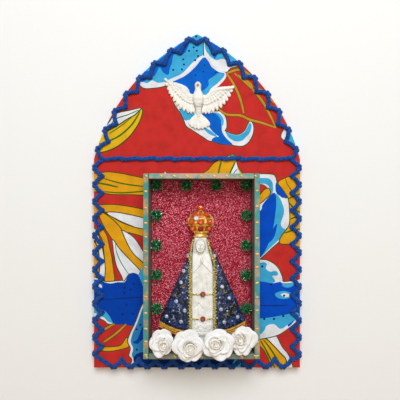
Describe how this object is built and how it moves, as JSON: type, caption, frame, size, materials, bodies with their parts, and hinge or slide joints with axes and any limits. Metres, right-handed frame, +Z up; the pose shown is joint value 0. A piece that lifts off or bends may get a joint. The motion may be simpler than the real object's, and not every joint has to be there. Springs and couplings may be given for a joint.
{
  "type": "shrine",
  "caption": "Chapel-shaped folk shrine to hang on a wall: arched board in red floral cotton, laced with blue cord, with a glitter-lined box niche, a crowned figure, paper roses and a dove",
  "frame": {"origin": "on the wall side of the backing, at the middle of the board's width and height", "axes": "X to the viewer's right, Y into the wall, Z up"},
  "size_m": [0.1948, 0.052, 0.3064],
  "materials": {
    "printed_cotton": "printed plain-weave cotton",
    "fibreboard": "raw fibreboard",
    "kraft_card": "smooth kraft board",
    "blue_cord": "twisted cotton cord",
    "verdigris_paint": "brushed green-blue paint with gold dots",
    "crimson_glitter": "glitter on paper",
    "green_tinsel": "cut foil strands",
    "white_enamel": "satin paint on plaster",
    "navy_enamel": "satin paint on plaster",
    "gold_braid": "metallic thread braid",
    "gold_ribbon": "metallic ribbon",
    "gilt_crown": "pressed and gilt",
    "red_gem": "faceted acrylic",
    "clear_gem": "faceted acrylic with foil back",
    "rose_paper": "crepe paper",
    "plaster": "cast plaster",
    "zinc_steel": "zinc plated"
  },
  "bodies": {
    "shrine": {"back_board": "fibreboard", "backing_board": "kraft_card", "braid_left": "gold_braid", "braid_right": "gold_braid", "cross_stitching": "blue_cord", "crown": "gilt_crown", "crown_clear_gem": "clear_gem", "crown_gem_01": "red_gem", "crown_gem_02": "red_gem", "crown_gem_03": "red_gem", "crown_gem_04": "red_gem", "crown_gem_05": "red_gem", "crown_gem_06": "red_gem", "crown_gem_07": "red_gem", "crown_gem_08": "red_gem", "crown_top_gem": "red_gem", "dove": "plaster", "edge_lacing_back": "blue_cord", "edge_lacing_front": "blue_cord", "fabric_cover": "printed_cotton", "figure_head": "white_enamel", "figure_plinth": "white_enamel", "figure_robe": "white_enamel", "glitter_sheet": "crimson_glitter", "hanger_nail_lower": "zinc_steel", "hanger_nail_upper": "zinc_steel", "hanger_strap": "zinc_steel", "hem_ribbon_left": "gold_ribbon", "hem_ribbon_right": "gold_ribbon", "mantle_left": "navy_enamel", "mantle_right": "navy_enamel", "niche_back": "fibreboard", "niche_bottom_wall": "verdigris_paint", "niche_left_wall": "verdigris_paint", "niche_right_wall": "verdigris_paint", "niche_top_wall": "verdigris_paint", "pompom_01": "green_tinsel", "pompom_02": "green_tinsel", "pompom_03": "green_tinsel", "pompom_04": "green_tinsel", "pompom_05": "green_tinsel", "pompom_06": "green_tinsel", "pompom_07": "green_tinsel", "pompom_08": "green_tinsel", "pompom_09": "green_tinsel", "pompom_10": "green_tinsel", "pompom_11": "green_tinsel", "pompom_12": "green_tinsel", "robe_band_lower": "gold_braid", "robe_band_upper": "gold_braid", "robe_gem_lower": "red_gem", "robe_gem_upper": "red_gem", "rose_1": "rose_paper", "rose_2": "rose_paper", "rose_3": "rose_paper", "rose_4": "rose_paper"},
    "hanger_ring": {"hanger_ring": "zinc_steel"}
  },
  "joints": [
    {"name": "ring_swing", "type": "hinge", "parent": "shrine", "child": "hanger_ring", "pos_m": [0, -0.0023, 0.0941], "axis": [1, 0, 0], "range_deg": [0, 180]}
  ]
}
